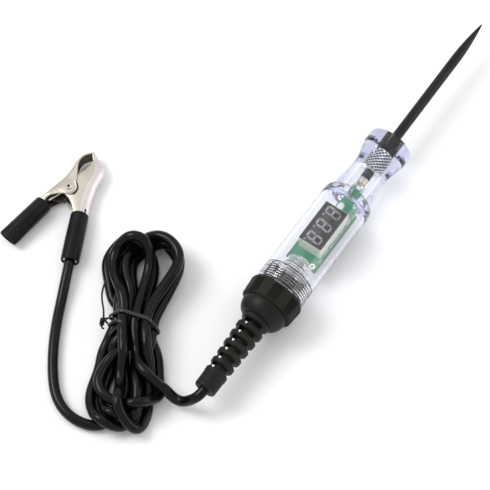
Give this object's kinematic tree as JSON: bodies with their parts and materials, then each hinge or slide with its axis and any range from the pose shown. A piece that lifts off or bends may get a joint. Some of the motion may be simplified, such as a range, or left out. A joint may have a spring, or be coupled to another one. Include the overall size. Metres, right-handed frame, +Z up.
{
  "type": "circuit test light",
  "caption": "Pen-shaped circuit tester: black probe, clear body with a digital display inside, screw cap, ribbed strain relief, tied cord and an alligator clip.",
  "frame": {"origin": "under the middle of the pen, on the surface it lies on; the cord and clip are not counted", "axes": "+X along the pen towards the probe tip, +Z up out of the surface, the cord and clip lie on the +Y side"},
  "size_m": [0.2707, 0.1362, 0.0264],
  "materials": {
    "clear_shell": "clear moulded plastic, polished, faint lavender tint in thick walls",
    "black_probe": "steel rod, matte black finish",
    "black_trim": "black plastic",
    "chrome_nut": "bright diamond knurl",
    "nickel_contact": "nickel plate",
    "green_board": "green solder mask",
    "display_case": "cream white moulding",
    "display_dark": "dark grey filter",
    "display_bars": "unlit light grey bars",
    "solder": "bright solder",
    "clear_led": "clear moulded plastic",
    "black_chip": "black moulded package",
    "white_print": "white board print",
    "clear_cup": "clear moulded plastic",
    "spring_wire": "plated spring wire",
    "brass_disc": "brushed brass",
    "black_cap": "charcoal black, fine satin",
    "black_relief": "charcoal black soft plastic",
    "black_cord": "glossy black cord jacket",
    "black_tie": "black twist tie",
    "nickel_clip": "warm nickel plate",
    "black_sleeve": "satin black soft sleeve"
  },
  "bodies": {
    "pen": {"body_shell": "clear_shell", "probe": "black_probe", "probe_bush": "black_trim", "knurled_nut": "chrome_nut", "contact_ferrule": "nickel_contact", "circuit_board": "green_board", "display_housing": "display_case", "display_face": "display_dark", "display_segments": "display_bars", "display_pins": "solder", "indicator_led": "clear_led", "control_chip": "black_chip", "chip_resistors": "black_chip", "solder_joints": "solder", "ground_pad": "white_print", "spring_cup": "clear_cup", "ground_spring": "spring_wire"},
    "cord_end": {"strain_relief": "black_relief", "contact_disc": "brass_disc", "cord_front": "black_cord", "cord_hank": "black_cord", "cord_rear": "black_cord", "twist_tie": "black_tie", "jaw_fixed": "nickel_clip", "pivot_rivet": "nickel_clip", "clip_spring": "spring_wire", "sleeve_fixed": "black_sleeve", "wire_crimp": "nickel_contact"},
    "cap": {"rear_cap": "black_cap"},
    "clip_jaw": {"jaw_moving": "nickel_clip", "spring_leg": "spring_wire", "sleeve_moving": "black_sleeve"}
  },
  "joints": [
    {"name": "cap_slide", "type": "slide", "parent": "pen", "child": "cord_end", "axis": [-1, 0, 0], "range_m": [0, 0.006], "deforming": ["ground_spring"]},
    {"name": "cap_turn", "type": "hinge", "parent": "cord_end", "child": "cap", "pos_m": [-0.0625, 0, 0.0132], "axis": [-1, 0, 0], "range_deg": [0, 1728.5]},
    {"name": "clip_pivot", "type": "hinge", "parent": "cord_end", "child": "clip_jaw", "pos_m": [-0.065, 0.1103, 0.0046], "axis": [0, 0, 1], "range_deg": [0, 30], "stiffness_Nm_per_rad": 0.2, "springref_deg": -20.05}
  ],
  "couplings": [
    {"joint": "cap_turn", "follows": "cap_slide", "rad_per_m": 5026.5}
  ]
}
